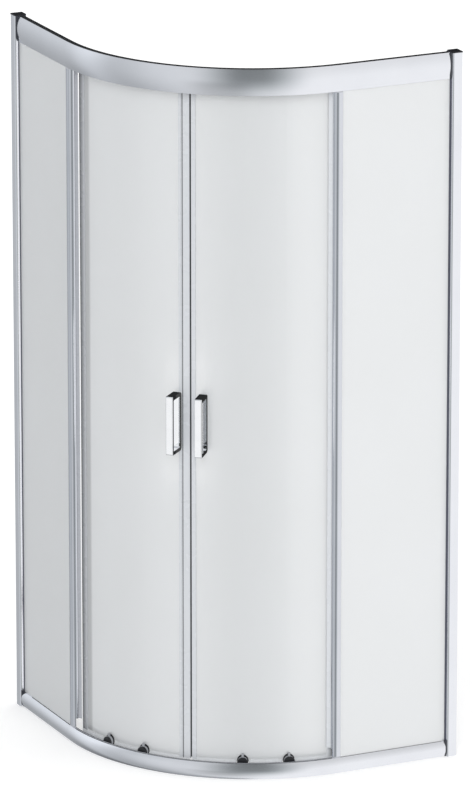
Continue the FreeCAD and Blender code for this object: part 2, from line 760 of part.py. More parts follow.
def round_cap(radius, height):
    """Clamping cap against the inner face of the door glass."""
    return button(radius, CAP_T, ARC_CENTRE, DOOR_IN + CAP_GAP, height)


def top_hanger():
    """Axle and long bush through the glass, and the cap that clamps them."""
    collar_start = WHEEL_DEPTH + TOP_WHEEL_W / 2 + WHEEL_GAP
    head_end = WHEEL_DEPTH - TOP_WHEEL_W / 2 - WHEEL_GAP
    axle = rod(TOP_AXLE_R, ARC_CENTRE, head_end - TOP_HEAD_T, DOOR_OUT, TOP_WHEEL_Z)
    head = rod(TOP_AXLE_R + TOP_HEAD_RIM, ARC_CENTRE, head_end - TOP_HEAD_T, head_end, TOP_WHEEL_Z)
    bush = rod(TOP_HOLE_R - SCREW_FIT, ARC_CENTRE, collar_start, DOOR_IN + CAP_GAP, TOP_WHEEL_Z)
    return [axle.fuse([head, bush]).removeSplitter(), round_cap(TOP_CAP_R, TOP_WHEEL_Z)]


def wheel(radius, width, bore, depth, height):
    """Wheel with a hub, a web dished on the outer side and a rim with eased edges."""
    out = depth - width / 2
    back = depth + width / 2
    hub = bore + 0.35 * (radius - bore)
    rim = bore + 0.78 * (radius - bore)
    dish = width * 0.2
    ease = width * 0.08
    profile = face([
        (out, bore), (back, bore), (back, radius - ease), (back - ease, radius), (out + ease, radius),
        (out, radius - ease), (out, rim), (out + dish, rim), (out + dish, hub), (out, hub),
    ], lambda across, r: V(ARC_CENTRE, across - HALF, height + r))
    return profile.revolve(V(ARC_CENTRE, 0, height), INWARD, 360)


def arched_plate(width, low, high, depth0, depth1):
    """Plate across the track with straight sides and a round top."""
    half = width / 2
    spring_line = high - half
    section = face([
        (-half, low), (-half, spring_line), ((0, high), (half, spring_line)), (half, low),
    ], lambda x, z: V(ARC_CENTRE + x, depth0 - HALF, z))
    return section.extrude(INWARD * (depth1 - depth0))


def middle_block(width, depth0, depth1, low, high):
    """Block across the track, centred on the roller."""
    return block(ARC_CENTRE - width / 2, ARC_CENTRE + width / 2, depth0, depth1, low, high)


def roller_housing():
    """Two arched plates joined by guide pins and a spring rest, and the cap that clamps them to the glass."""
    front = arched_plate(HOUSING_W, HOUSING_LOW, FRONT_TOP, HOUSING_OUT, PLATE_OUT)
    rim = [edge for edge in front.Edges if edge.BoundBox.YMax < HOUSING_OUT - HALF + HOUSING_BEVEL]
    front = front.makeChamfer(HOUSING_BEVEL, rim)
    back = arched_plate(HOUSING_W, HOUSING_LOW, HOUSING_TOP, PLATE_IN, DOOR_OUT)
    back = back.cut(middle_block(LEG_GAP_W, PLATE_IN - 1, DOOR_OUT + 1, 0, LEG_GAP_TOP))
    joins = [rod(GUIDE_PIN_R, ARC_CENTRE + x, PLATE_OUT, PLATE_IN, GUIDE_PIN_Z)
             for x in (-GUIDE_PIN_X, GUIDE_PIN_X)]
    joins.append(middle_block(SPRING_REST_W, PLATE_OUT, PLATE_IN, *SPRING_REST))
    joins.append(rod(LOW_HOLE_R - 2 * SCREW_FIT, ARC_CENTRE, DOOR_OUT, DOOR_IN + CAP_GAP, LOW_HOLE_Z))
    return [front.fuse([back] + joins).removeSplitter(), round_cap(LOW_CAP_R, LOW_HOLE_Z)]


def release_slider():
    """Plate with a push tab on top, guide slots, a spring window and the leg that carries the lower wheel."""
    out = PLATE_OUT + SLIDER_FIT
    back = PLATE_IN - SLIDER_FIT
    plate = arched_plate(SLIDER_W, SLIDER_LOW, SLIDER_TOP, out, back)
    tab = middle_block(TAB_W, out + TAB_INSET, back - TAB_INSET, SLIDER_TOP - TAB_ROOT, TAB_TOP)
    bridge = middle_block(LEG_W, out, LEG_IN, SLIDER_LOW, LEG_TOP)
    leg = middle_block(LEG_W, LEG_OUT, LEG_IN, LOW_WHEEL_Z - LEG_W / 2, LEG_TOP)
    wheel_out = LOW_WHEEL_DEPTH - LOW_WHEEL_W / 2 - WHEEL_GAP
    wheel_in = LOW_WHEEL_DEPTH + LOW_WHEEL_W / 2 + WHEEL_GAP
    head_r = LOW_AXLE_R + LOW_HEAD_RIM
    pin = rod(LOW_AXLE_R, ARC_CENTRE, wheel_out - LOW_HEAD_T, LEG_OUT, LOW_WHEEL_Z)
    head = rod(head_r, ARC_CENTRE, wheel_out - LOW_HEAD_T, wheel_out, LOW_WHEEL_Z)
    collar = rod(head_r, ARC_CENTRE, wheel_in, LEG_OUT, LOW_WHEEL_Z)
    slider = plate.fuse([tab, bridge, leg, pin, head, collar]).removeSplitter()
    cuts = [middle_block(SPRING_WINDOW_W, out - 1, back + 1, *SPRING_WINDOW)]
    slot_r = GUIDE_PIN_R + SLIDER_FIT
    for side in (-1, 1):
        x = ARC_CENTRE + side * GUIDE_PIN_X
        upper = GUIDE_PIN_Z + RELEASE_TRAVEL
        cuts.append(rod(slot_r, x, out - 1, back + 1, GUIDE_PIN_Z))
        cuts.append(rod(slot_r, x, out - 1, back + 1, upper))
        cuts.append(block(x - slot_r, x + slot_r, out - 1, back + 1, GUIDE_PIN_Z, upper))
    return slider.cut(cuts)


def helix_point(turn):
    angle = 2 * math.pi * turn
    rise = (SPRING_TOP - SPRING_LOW) * turn / SPRING_TURNS
    centre = at_tangent((PLATE_OUT + PLATE_IN) / 2, SPRING_LOW + rise)
    return centre + V(SPRING_R * math.cos(angle), SPRING_R * math.sin(angle), 0)


def helix_tangent(turn):
    angle = 2 * math.pi * turn
    climb = (SPRING_TOP - SPRING_LOW) / SPRING_TURNS
    run = 2 * math.pi * SPRING_R
    return V(-run * math.sin(angle), run * math.cos(angle), climb).normalize()


def tangent_arc(start, direction, end):
    """Arc that leaves a point in a given direction and ends at another point."""
    chord = end - start
    along = V(chord).normalize()
    across = (direction - along * direction.dot(along)).normalize()
    half_turn = math.acos(max(-1.0, min(1.0, direction.dot(along))))
    middle = start + chord * 0.5 + across * (chord.Length / 2 * math.tan(half_turn / 2))
    return Part.Arc(start, middle, end).toShape()


def biarc(turn0, turn1):
    """Two arcs that join two points of the helix and keep its direction at both."""
    p0, p1 = helix_point(turn0), helix_point(turn1)
    t0, t1 = helix_tangent(turn0), helix_tangent(turn1)
    gap = p1 - p0
    turn = 2 * (1 - t0.dot(t1))
    lead = gap.dot(t0 + t1)
    reach = (math.sqrt(lead ** 2 + turn * gap.dot(gap)) - lead) / turn
    joint = (p0 + p1 + (t0 - t1) * reach) * 0.5
    out = tangent_arc(p0, t0, joint)
    home = tangent_arc(p1, -t1, joint)
    home.reverse()
    return [out, home]


def wire_section():
    """Many-sided section of the spring wire at its lower end, square to the helix."""
    along = helix_tangent(0)
    side = V(1, 0, 0)
    rise = along.cross(side)
    corners = []
    for i in range(SPRING_SIDES + 1):
        angle = 2 * math.pi * i / SPRING_SIDES
        corners.append(helix_point(0) + (side * math.cos(angle) + rise * math.sin(angle)) * SPRING_WIRE_R)
    return Part.makePolygon(corners)


def release_spring():
    """Compression spring between the housing's spring rest and the slider."""
    edges = []
    for half in range(SPRING_TURNS * 2):
        edges += biarc(half / 2, (half + 1) / 2)
    return Part.Wire(edges).makePipeShell([wire_section()], True, False)


def spring_gap():
    """Least clear gap between neighbouring turns, measured on points of the helix."""
    steps = 48
    points = [helix_point(i / steps) for i in range(SPRING_TURNS * steps + 1)]
    least = min((points[i] - points[j]).Length
                for i in range(len(points)) for j in range(i + steps // 2, len(points)))
    return least - 2 * SPRING_WIRE_R


def export(name, shape):
    shape.exportStep("parts/" + name + ".step")
    print(name, "solids", len(shape.Solids), "volume", round(shape.Volume), "valid", shape.isValid())


def export_pair(name, shape):
    export(name + "_right", shape)
    export(name + "_left", mirrored(shape))


def export_frame():
    export("top_rail", top_rail())
    export("bottom_rail", bottom_rail())
    for maker in (wall_channel, wall_jamb, jamb_gasket, fixed_glass, post, post_seal,
                  top_connector, bottom_connector):
        export_pair(maker.__name__, maker())
    export("wall_caps", both(wall_cap()))
    export("post_plugs", both(post_plugs()))
    export("door_stops", both(door_stop()))
    export("connector_screws", both(Part.makeCompound([sill_screw(), head_screw()])))
    export("lock_screws", both(Part.makeCompound(lock_screws())))


def export_door_pair(name, right, left):
    """Doors of a pair, built about the diagonal and then moved together to where they stand closed."""
    export(name + "_right", swing(right, -DOOR_SHIFT))
    export(name + "_left", swing(mirrored(left), -DOOR_SHIFT))


def export_doors():
    glass = door_glass()
    magnet = magnet_strip()
    hangers = [swing(piece, angle) for angle in ROLLERS.values() for piece in top_hanger()]
    alike = {
        "door_glass": glass,
        "edge_seal": edge_seal(glass),
        "magnet_strip": magnet,
        "door_handle": door_handle(),
        "handle_bolts": handle_bolts(),
        "top_hangers": Part.makeCompound(hangers),
    }
    for name, piece in alike.items():
        export_door_pair(name, piece, piece)
    seals = {side: meeting_seal(glass, magnet, width) for side, width in MEETING_WIDTH.items()}
    export_door_pair("meeting_seal", **seals)
    wipers = {side: bottom_wiper(width) for side, width in MEETING_WIDTH.items()}
    export_door_pair("bottom_wiper", **wipers)


def export_rollers():
    top_wheel = wheel(TOP_WHEEL_R, TOP_WHEEL_W, TOP_AXLE_R + RUNNING_FIT, WHEEL_DEPTH, TOP_WHEEL_Z)
    low_wheel = wheel(LOW_WHEEL_R, LOW_WHEEL_W, LOW_AXLE_R + RUNNING_FIT, LOW_WHEEL_DEPTH, LOW_WHEEL_Z)
    pieces = {
        "top_wheel": top_wheel,
        "bottom_wheel": low_wheel,
        "roller_housing": Part.makeCompound(roller_housing()),
        "release_slider": release_slider(),
        "release_spring": release_spring(),
    }
    for place, angle in ROLLERS.items():
        for side, turned in (("right", angle), ("left", QUARTER - angle)):
            for name, piece in pieces.items():
                export(name + "_" + place + "_" + side, swing(piece, turned - DOOR_SHIFT))


os.makedirs("parts", exist_ok=True)
export_frame()
export_doors()
export_rollers()
print("spring gap", round(spring_gap(), 2))
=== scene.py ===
# %% [markdown]
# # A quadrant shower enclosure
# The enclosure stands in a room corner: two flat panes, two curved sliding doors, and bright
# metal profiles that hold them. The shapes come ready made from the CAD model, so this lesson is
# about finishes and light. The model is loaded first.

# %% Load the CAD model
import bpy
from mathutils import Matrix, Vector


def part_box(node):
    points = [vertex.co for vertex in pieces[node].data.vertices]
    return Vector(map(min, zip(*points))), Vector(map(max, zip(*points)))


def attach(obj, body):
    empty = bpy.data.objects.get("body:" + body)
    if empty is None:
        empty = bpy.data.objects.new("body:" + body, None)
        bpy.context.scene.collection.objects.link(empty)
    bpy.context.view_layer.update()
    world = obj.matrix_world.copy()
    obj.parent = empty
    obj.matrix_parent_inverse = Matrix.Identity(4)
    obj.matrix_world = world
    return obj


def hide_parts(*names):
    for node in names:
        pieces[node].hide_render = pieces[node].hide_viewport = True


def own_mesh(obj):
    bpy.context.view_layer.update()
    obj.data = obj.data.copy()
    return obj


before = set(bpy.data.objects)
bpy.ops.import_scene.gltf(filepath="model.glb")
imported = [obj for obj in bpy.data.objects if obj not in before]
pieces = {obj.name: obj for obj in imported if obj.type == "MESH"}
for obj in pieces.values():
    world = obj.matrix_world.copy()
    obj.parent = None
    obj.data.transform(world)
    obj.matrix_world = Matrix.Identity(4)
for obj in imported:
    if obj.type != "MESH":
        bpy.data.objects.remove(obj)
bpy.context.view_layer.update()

import bmesh
import bpy
import math
from mathutils import Vector

# %% [markdown]
# ## The camera
# The photograph was taken from far away with a long lens, slightly from above and from the left
# of the right-hand wall. A long lens keeps the uprights parallel, so the camera here stands
# nineteen metres off with a narrow view, aimed at the middle of the enclosure. An orthographic
# camera would come close, but the photograph still has a trace of perspective.

# %% Camera
IMAGE_SIZE = (474, 790)
TURN = math.radians(25.213)
TILT = math.radians(16.474)
FOCAL_PIXELS = 7216.6
SENSOR_WIDTH = 36.0
DISTANCE = 19.3774
FARTHEST = 200.0
AIM = Vector((0.0083, 0.0, 0.9472))

scene = bpy.context.scene
level = math.cos(TILT)
looking = Vector((math.sin(TURN) * level, math.cos(TURN) * level, -math.sin(TILT)))
camera_data = bpy.data.cameras.new("camera")
camera_data.sensor_width = SENSOR_WIDTH
camera_data.lens = FOCAL_PIXELS * SENSOR_WIDTH / max(IMAGE_SIZE)
camera_data.clip_end = FARTHEST
camera = bpy.data.objects.new("camera", camera_data)
camera.location = AIM - looking * DISTANCE
camera.rotation_euler = looking.to_track_quat("-Z", "Y").to_euler()
scene.collection.objects.link(camera)
scene.camera = camera
scene.view_settings.view_transform = "Standard"
print("camera", [round(x, 3) for x in camera.location], "lens", round(camera_data.lens, 1))

# %% [markdown]
# ## Three helpers
# Colours are easiest to read as the hex values that a colour picker shows, but shaders work in
# linear light, so one function converts them. A second function adds a node, sets its fields and
# links its inputs. Inputs come as a tuple in the order of the sockets, or by socket where some are
# skipped. Map Range takes a value, the range it comes from and the range it goes to. Mix has its
# factor at 0, numbers at 2 and 3, and colours at 6 and 7. A third function starts a material.

# %% Colour, node and material helpers
def linear(code):
    """Linear RGBA of an sRGB hex colour such as "#c0c4c8"."""
    channels = [int(code[i:i + 2], 16) / 255 for i in (1, 3, 5)]
    return [c / 12.92 if c <= 0.04045 else ((c + 0.055) / 1.055) ** 2.4 for c in channels] + [1.0]


def add(tree, kind, inputs=(), **settings):
    """Adds one node. An input that is another node's output becomes a link."""
    node = tree.nodes.new(kind)
    for name, setting in settings.items():
        setattr(node, name, setting)
    sockets = inputs.items() if isinstance(inputs, dict) else enumerate(inputs)
    for socket, value in sockets:
        if isinstance(value, bpy.types.NodeSocket):
            tree.links.new(value, node.inputs[socket])
        else:
            node.inputs[socket].default_value = value
    return node


def blank(name):
    """A new material with an empty node tree, and that tree."""
    finish = bpy.data.materials.new(name)
    finish.use_nodes = True
    finish.node_tree.nodes.clear()
    return finish, finish.node_tree


# %% [markdown]
# ## The studio
# Bright metal looks like what stands around it. A product studio has pale walls and large soft
# boxes, with a darker end where the camera stands, and that dark end is what draws the soft
# vertical band on the curved rails. The world below is such a room, seen by mirror reflections
# only: grey on the left, nearly white on the right, dark round the camera, and black behind the
# object and far round to its right. That is why every upward face of the metal looks black, and
# the sides of the handles too. Real panels round the object could do the same, but a formula in the
# world is tuned in one place and throws no shadow.
#
# A direction in the room has a height, from -1 straight down to 1 straight up, and an angle
# around the room, which is 0 towards the camera and negative to the left.

# %% World directions
TO_CAMERA = (-math.sin(TURN), -math.cos(TURN), 0.0)
TO_RIGHT = (math.cos(TURN), -math.sin(TURN), 0.0)

world = bpy.data.worlds.new("studio")
scene.world = world
world.use_nodes = True
world.cycles.sampling_method = "NONE"
sky = world.node_tree
sky.nodes.clear()
way = add(sky, "ShaderNodeTexCoord").outputs["Generated"]
height = add(sky, "ShaderNodeSeparateXYZ", (way,)).outputs["Z"]
to_camera = add(sky, "ShaderNodeVectorMath", (way, TO_CAMERA), operation="DOT_PRODUCT").outputs["Value"]
to_right = add(sky, "ShaderNodeVectorMath", (way, TO_RIGHT), operation="DOT_PRODUCT").outputs["Value"]
around = add(sky, "ShaderNodeMath", (to_right, to_camera), operation="ARCTAN2").outputs[0]
print("camera side", [round(x, 3) for x in TO_CAMERA])

# %% [markdown]
# The left wall is darker at its foot, most of all far back. A gentle ripple along it stands for
# the soft boxes and the gaps between them.

# %% Left wall
SOFT_BOXES = 6.3
FIRST_BOX = 5.5
RIPPLE_LEVELS = (0.93, 1.07)
HEAD_ANGLES = (math.radians(-80), math.radians(-105))
HEAD_LEVELS = (0.78, 1.1)
FOOT_ANGLES = (math.radians(-104), math.radians(-127))
FOOT_LEVELS = (0.48, 0.26)
LEFT_HEIGHTS = (-0.75, 0.25)

ripple = add(sky, "ShaderNodeMath", (around, SOFT_BOXES, FIRST_BOX), operation="MULTIPLY_ADD").outputs[0]
ripple = add(sky, "ShaderNodeMath", (ripple,), operation="COSINE").outputs[0]
ripple = add(sky, "ShaderNodeMapRange", (ripple, -1.0, 1.0, *RIPPLE_LEVELS)).outputs[0]
head = add(sky, "ShaderNodeMapRange", (around, *HEAD_ANGLES, *HEAD_LEVELS),
           interpolation_type="SMOOTHSTEP").outputs[0]
foot = add(sky, "ShaderNodeMapRange", (around, *FOOT_ANGLES, *FOOT_LEVELS),
           interpolation_type="SMOOTHSTEP").outputs[0]
left_wall = add(sky, "ShaderNodeMapRange", (height, *LEFT_HEIGHTS, foot, head)).outputs[0]
left_wall = add(sky, "ShaderNodeMath", (left_wall, ripple), operation="MULTIPLY").outputs[0]
print("left wall, foot to head", FOOT_LEVELS, HEAD_LEVELS)

# %% [markdown]
# The right wall is brightest low down, as a pale floor makes it. Between the two, the room runs
# from a cool grey to white.

# %% Right wall
RIGHT_HEIGHTS = (-0.2, 0.8)
RIGHT_LEVELS = (1.2, 0.86)
LEFT_TO_RIGHT = (math.radians(-110), math.radians(36))
COOL_PAINT = "#e5e8eb"
EVEN_PAINT = "#e7e7e7"

right_wall = add(sky, "ShaderNodeMapRange", (height, *RIGHT_HEIGHTS, *RIGHT_LEVELS)).outputs[0]
turn = add(sky, "ShaderNodeMapRange", (around, *LEFT_TO_RIGHT), interpolation_type="SMOOTHSTEP").outputs[0]
walls = add(sky, "ShaderNodeMix", {0: turn, 2: left_wall, 3: right_wall}).outputs[0]
paint = add(sky, "ShaderNodeMix", {0: turn, 6: linear(COOL_PAINT), 7: linear(EVEN_PAINT)},
            data_type="RGBA").outputs[2]
print("right wall", RIGHT_LEVELS)

# %% [markdown]
# The dark end lies round the camera, a little bluer than the walls, and fades towards the floor.

# %% Dark camera end
END_ANGLES = (math.radians(36), math.radians(5))
END_HEIGHTS = (-1.1, 0.0)
END_LEVEL = 0.29
END_PAINT = "#e1e7e8"

off_axis = add(sky, "ShaderNodeMath", (around,), operation="ABSOLUTE").outputs[0]
near = add(sky, "ShaderNodeMapRange", (off_axis, *END_ANGLES), interpolation_type="SMOOTHSTEP").outputs[0]
risen = add(sky, "ShaderNodeMapRange", (height, *END_HEIGHTS), interpolation_type="SMOOTHSTEP").outputs[0]
shade = add(sky, "ShaderNodeMath", (near, risen), operation="MULTIPLY").outputs[0]
dark_end = add(sky, "ShaderNodeMapRange", (shade, 0.0, 1.0, 1.0, END_LEVEL)).outputs[0]
paint = add(sky, "ShaderNodeMix", {0: shade, 6: paint, 7: linear(END_PAINT)}, data_type="RGBA").outputs[2]
print("dark end", END_LEVEL)

# %% [markdown]
# A grey trolley stands low at the left of the camera and dims what the rails mirror there. Its
# patch is found by the distance from its middle, in angle and in height.

# %% Trolley
TROLLEY_LEFT = math.radians(19)
TROLLEY_ANGLES = (math.radians(26), math.radians(6))
TROLLEY_DEPTH = 0.55
TROLLEY_HEIGHTS = (0.46, 0.16)
TROLLEY_LEVEL = 0.76

beside = add(sky, "ShaderNodeMath", (around, TROLLEY_LEFT), operation="ADD").outputs[0]
beside = add(sky, "ShaderNodeMath", (beside,), operation="ABSOLUTE").outputs[0]
beside = add(sky, "ShaderNodeMapRange", (beside, *TROLLEY_ANGLES),
             interpolation_type="SMOOTHSTEP").outputs[0]
below = add(sky, "ShaderNodeMath", (height, TROLLEY_DEPTH), operation="ADD").outputs[0]
below = add(sky, "ShaderNodeMath", (below,), operation="ABSOLUTE").outputs[0]
below = add(sky, "ShaderNodeMapRange", (below, *TROLLEY_HEIGHTS),
            interpolation_type="SMOOTHSTEP").outputs[0]
shade = add(sky, "ShaderNodeMath", (beside, below), operation="MULTIPLY").outputs[0]
trolley = add(sky, "ShaderNodeMapRange", (shade, 0.0, 1.0, 1.0, TROLLEY_LEVEL)).outputs[0]
print("trolley", TROLLEY_LEVEL)

# %% [markdown]
# The back of the room is nearly black above the floor, and so is the far right. Then the walls
# and all that dims them are multiplied together.

# %% Dark back
BACK_EDGES = (-0.6, -0.8)
BACK_HEIGHTS = (0.02, 0.14)
ASIDE_ANGLES = (math.radians(100), math.radians(140))
ASIDE_HEIGHTS = (-0.75, -0.45)
BACK_LEVEL = 0.03

behind = add(sky, "ShaderNodeMapRange", (to_camera, *BACK_EDGES),
             interpolation_type="SMOOTHSTEP").outputs[0]
over = add(sky, "ShaderNodeMapRange", (height, *BACK_HEIGHTS), interpolation_type="SMOOTHSTEP").outputs[0]
back = add(sky, "ShaderNodeMath", (behind, over), operation="MULTIPLY").outputs[0]
aside = add(sky, "ShaderNodeMapRange", (around, *ASIDE_ANGLES), interpolation_type="SMOOTHSTEP").outputs[0]
risen = add(sky, "ShaderNodeMapRange", (height, *ASIDE_HEIGHTS),
            interpolation_type="SMOOTHSTEP").outputs[0]
aside = add(sky, "ShaderNodeMath", (aside, risen), operation="MULTIPLY").outputs[0]
shade = add(sky, "ShaderNodeMath", (back, aside), operation="MAXIMUM").outputs[0]
dark_back = add(sky, "ShaderNodeMapRange", (shade, 0.0, 1.0, 1.0, BACK_LEVEL)).outputs[0]
studio = walls
for dimmer in (dark_end, trolley, dark_back):
    studio = add(sky, "ShaderNodeMath", (studio, dimmer), operation="MULTIPLY").outputs[0]
print("dark back", BACK_LEVEL)

# %% [markdown]
# A world can tell which kind of ray is asking. Mirror rays see the studio. Matt surfaces get a
# soft light, a little stronger from the right, so colours stay close to what is written. The
# camera, and what looks through the glass, see one even pale grey.

# %% What each kind of ray sees
AMBIENT = 1.06
FROM_RIGHT = 0.43
EVEN_LEVEL = 1.0

ray = add(sky, "ShaderNodeLightPath").outputs
soft = add(sky, "ShaderNodeMath", (to_right, FROM_RIGHT, AMBIENT), operation="MULTIPLY_ADD").outputs[0]
room = add(sky, "ShaderNodeMix", {0: ray["Is Glossy Ray"], 2: soft, 3: studio}).outputs[0]
plain = add(sky, "ShaderNodeMath", (ray["Is Camera Ray"], ray["Is Transmission Ray"]),
            operation="MAXIMUM").outputs[0]
seen = add(sky, "ShaderNodeMix", {0: plain, 2: room, 3: EVEN_LEVEL}).outputs[0]
paint = add(sky, "ShaderNodeMix", {0: ray["Is Glossy Ray"], 6: linear(EVEN_PAINT), 7: paint},
            data_type="RGBA").outputs[2]
backdrop = add(sky, "ShaderNodeBackground", {"Color": paint, "Strength": seen})
add(sky, "ShaderNodeOutputWorld", {"Surface": backdrop.outputs[0]})
print("world nodes", len(sky.nodes))

# %% [markdown]
# The key light comes from the front, like a wide soft box over the camera, and reaches into the
# corners between the posts and the doors. An area lamp would do too, but a sun with a wide angle
# falls evenly over the whole height. It is kept out of mirror reflections, where it would be a
# round hot spot.

# %% Key light
KEY_STRENGTH = 1.0
KEY_SPREAD = math.radians(40)
KEY_SHINES = Vector((0.47, 0.671, -0.574))

key_data = bpy.data.lights.new("key", "SUN")
key_data.energy = KEY_STRENGTH
key_data.angle = KEY_SPREAD
key = bpy.data.objects.new("key", key_data)
key.rotation_euler = KEY_SHINES.to_track_quat("-Z", "Y").to_euler()
key.visible_glossy = False
scene.collection.objects.link(key)
print("key", key_data.energy)

# %% [markdown]
# The floor is a large pale sheet. The camera looks down and sees nothing else behind the object, so
# a flat sheet serves as well as a curved backdrop. It lifts itself to white for the camera but
# still takes the shadow, and the metal shows the studio walls in its place.


# %% Floor
def sheet(name, width, length):
    """A level sheet at the origin, which belongs to the studio and not to the object."""
    corners = [(x * width / 2, y * length / 2, 0) for x, y in ((-1, -1), (1, -1), (1, 1), (-1, 1))]
    mesh = bpy.data.meshes.new(name)
    mesh.from_pydata(corners, [], [(0, 1, 2, 3)])
    paper = bpy.data.objects.new(name, mesh)
    scene.collection.objects.link(paper)
    return paper


FLOOR_SIZE = 120.0
FLOOR_LIFT = 0.18

floor = sheet("floor", FLOOR_SIZE, FLOOR_SIZE)
floor.visible_glossy = False
finish, tree = blank("white_paper_sweep")
matt = add(tree, "ShaderNodeBsdfDiffuse", {"Color": linear("#f8f8f8")})
ray = add(tree, "ShaderNodeLightPath").outputs
seen = add(tree, "ShaderNodeMath", (ray["Is Camera Ray"], ray["Is Transmission Ray"]),
           operation="MAXIMUM").outputs[0]
lift = add(tree, "ShaderNodeMath", (seen, FLOOR_LIFT), operation="MULTIPLY").outputs[0]
glow = add(tree, "ShaderNodeEmission", {"Strength": lift})
both = add(tree, "ShaderNodeAddShader", (matt.outputs[0], glow.outputs[0]))
add(tree, "ShaderNodeOutputMaterial", {"Surface": both.outputs[0]})
floor.data.materials.append(finish)
print("floor", FLOOR_SIZE)

# %% [markdown]
# The handles look white in front, although the rails beside them are grey. A photographer gets
# that with a small white card, held close in front of the handles and just where their flat
# fronts mirror it. Only mirror reflections see the card here.

# %% White card for the handles
CARD_DISTANCE = 0.3
CARD_SIZE = (0.3, 0.34)
CARD_LEVEL = 1.0
HANDLE_FACING = math.radians(223.6)

corners = [corner for side in ("left", "right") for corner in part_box("door_handle_" + side)]
handles = Vector([(min(c[i] for c in corners) + max(c[i] for c in corners)) / 2 for i in range(3)])
outward = Vector((math.cos(HANDLE_FACING), math.sin(HANDLE_FACING), 0))
bounce = looking - outward * (2 * looking.dot(outward))
card = sheet("card", *CARD_SIZE)
card.location = handles + bounce * CARD_DISTANCE
card.rotation_euler = bounce.to_track_quat("Z", "Y").to_euler()
for kind in ("camera", "diffuse", "transmission", "shadow"):
    setattr(card, "visible_" + kind, False)
finish, tree = blank("white_card")
glow = add(tree, "ShaderNodeEmission", {"Strength": CARD_LEVEL})
add(tree, "ShaderNodeOutputMaterial", {"Surface": glow.outputs[0]})
card.data.materials.append(finish)
print("card", [round(x, 2) for x in card.location])

# %% [markdown]
# ## Dressing
# A piece is dressed by putting a finish into the slot that the CAD model already has, so the
# geometry itself is left alone.


# %% Dressing
def dress(finish, *names):
    """Puts a finish on every piece whose name starts with one of the names."""
    chosen = [piece for name, piece in pieces.items() if name.startswith(names)]
    for piece in chosen:
        for slot in piece.material_slots:
            slot.material = finish
    print(finish.name, len(chosen))


# %% [markdown]
# ## Drifting colours
# No real surface has one even colour, so each finish drifts between two close ones. A painted
# picture could do that, but a noise has no seams, and its size is given in millimetres. The same
# noise often drives the roughness. It rarely leaves the middle of its range, so that middle is
# stretched to the roughness wanted.

# %% Drifting colours
MM = 0.001
NOISE_SPAN = (0.3, 0.7)


def drift(tree, place, size, low, high, detail):
    """Noise of a size in metres, and a colour that drifts with it from low to high."""
    noise = add(tree, "ShaderNodeTexNoise",
                {"Vector": place, "Scale": 1 / size, "Detail": detail}).outputs["Fac"]
    tint = add(tree, "ShaderNodeMix", {0: noise, 6: linear(low), 7: linear(high)},
               data_type="RGBA").outputs[2]
    return noise, tint


# %% [markdown]
# ## Polished aluminium
# The profiles are aluminium, pressed hot through a die, mechanically polished and anodised. The
# die leaves hair-fine lines along the length, too fine to see one by one, which spread the
# highlight across the profile and not along it. Real lines are about 0.05 mm apart; they are drawn
# 0.8 mm apart so that they show at all. Rails run level, so their lines change with height, and
# uprights run vertical, so theirs change with x and y. An anisotropic shader could spread the
# highlight too, but it needs a tangent on every curved face. The two posts get a greyer tint. One
# function makes all three.

# %% Polished aluminium
DIE_LINE = 0.8 * MM
LINE_DEPTH = 0.05 * MM
LINE_STRENGTH = 0.04
BATH_CLOUD = 120 * MM
ALUMINIUM_ROUGH = (0.12, 0.2)


def polished_aluminium(name, across, pale, deep):
    """Anodised profile whose die lines vary along the axes in across."""
    finish, tree = blank(name)
    place = add(tree, "ShaderNodeTexCoord").outputs["Object"]
    lines_at = add(tree, "ShaderNodeVectorMath", (place, [a / DIE_LINE for a in across]),
                   operation="MULTIPLY").outputs[0]
    lines = add(tree, "ShaderNodeTexNoise",
                {"Vector": lines_at, "Scale": 1.0, "Detail": 2.0}).outputs["Fac"]
    rough = add(tree, "ShaderNodeMapRange", (lines, *NOISE_SPAN, *ALUMINIUM_ROUGH)).outputs[0]
    _, tint = drift(tree, place, BATH_CLOUD, pale, deep, detail=3.0)
    bump = add(tree, "ShaderNodeBump",
               {"Height": lines, "Strength": LINE_STRENGTH, "Distance": LINE_DEPTH}).outputs[0]
    metal = add(tree, "ShaderNodeBsdfPrincipled",
                {"Base Color": tint, "Metallic": 1.0, "Roughness": rough, "Normal": bump})
    add(tree, "ShaderNodeOutputMaterial", {"Surface": metal.outputs[0]})
    return finish


LEVEL_RUN = (0, 0, 1)
UPRIGHT_RUN = (1, 1, 0)

dress(polished_aluminium("polished_anodised_aluminium_rail", LEVEL_RUN, "#f3f5fa", "#e9ebf1"),
      "top_rail", "bottom_rail")
dress(polished_aluminium("polished_anodised_aluminium_upright", UPRIGHT_RUN, "#f3f5fa", "#e9ebf1"),
      "wall_jamb", "wall_channel")
dress(polished_aluminium("polished_anodised_aluminium_post", UPRIGHT_RUN, "#dfe2e9", "#d5d8df"),
      "post_right", "post_left")

# %% [markdown]
# ## Distance along a door
# Glass and seals look different near the back edge of a door, so a few nodes turn a place on a
# door into the distance along its curve, in metres, from the line where the doors meet. An unwrapped
# map could carry that, but a formula leaves the CAD mesh as it is.

# %% Distance along a door
ARC_CENTRE = 0.1
DOOR_RADIUS = 0.5115
MEETING_ANGLE = 226.4
MEETING_LINE = math.radians(MEETING_ANGLE - 360)


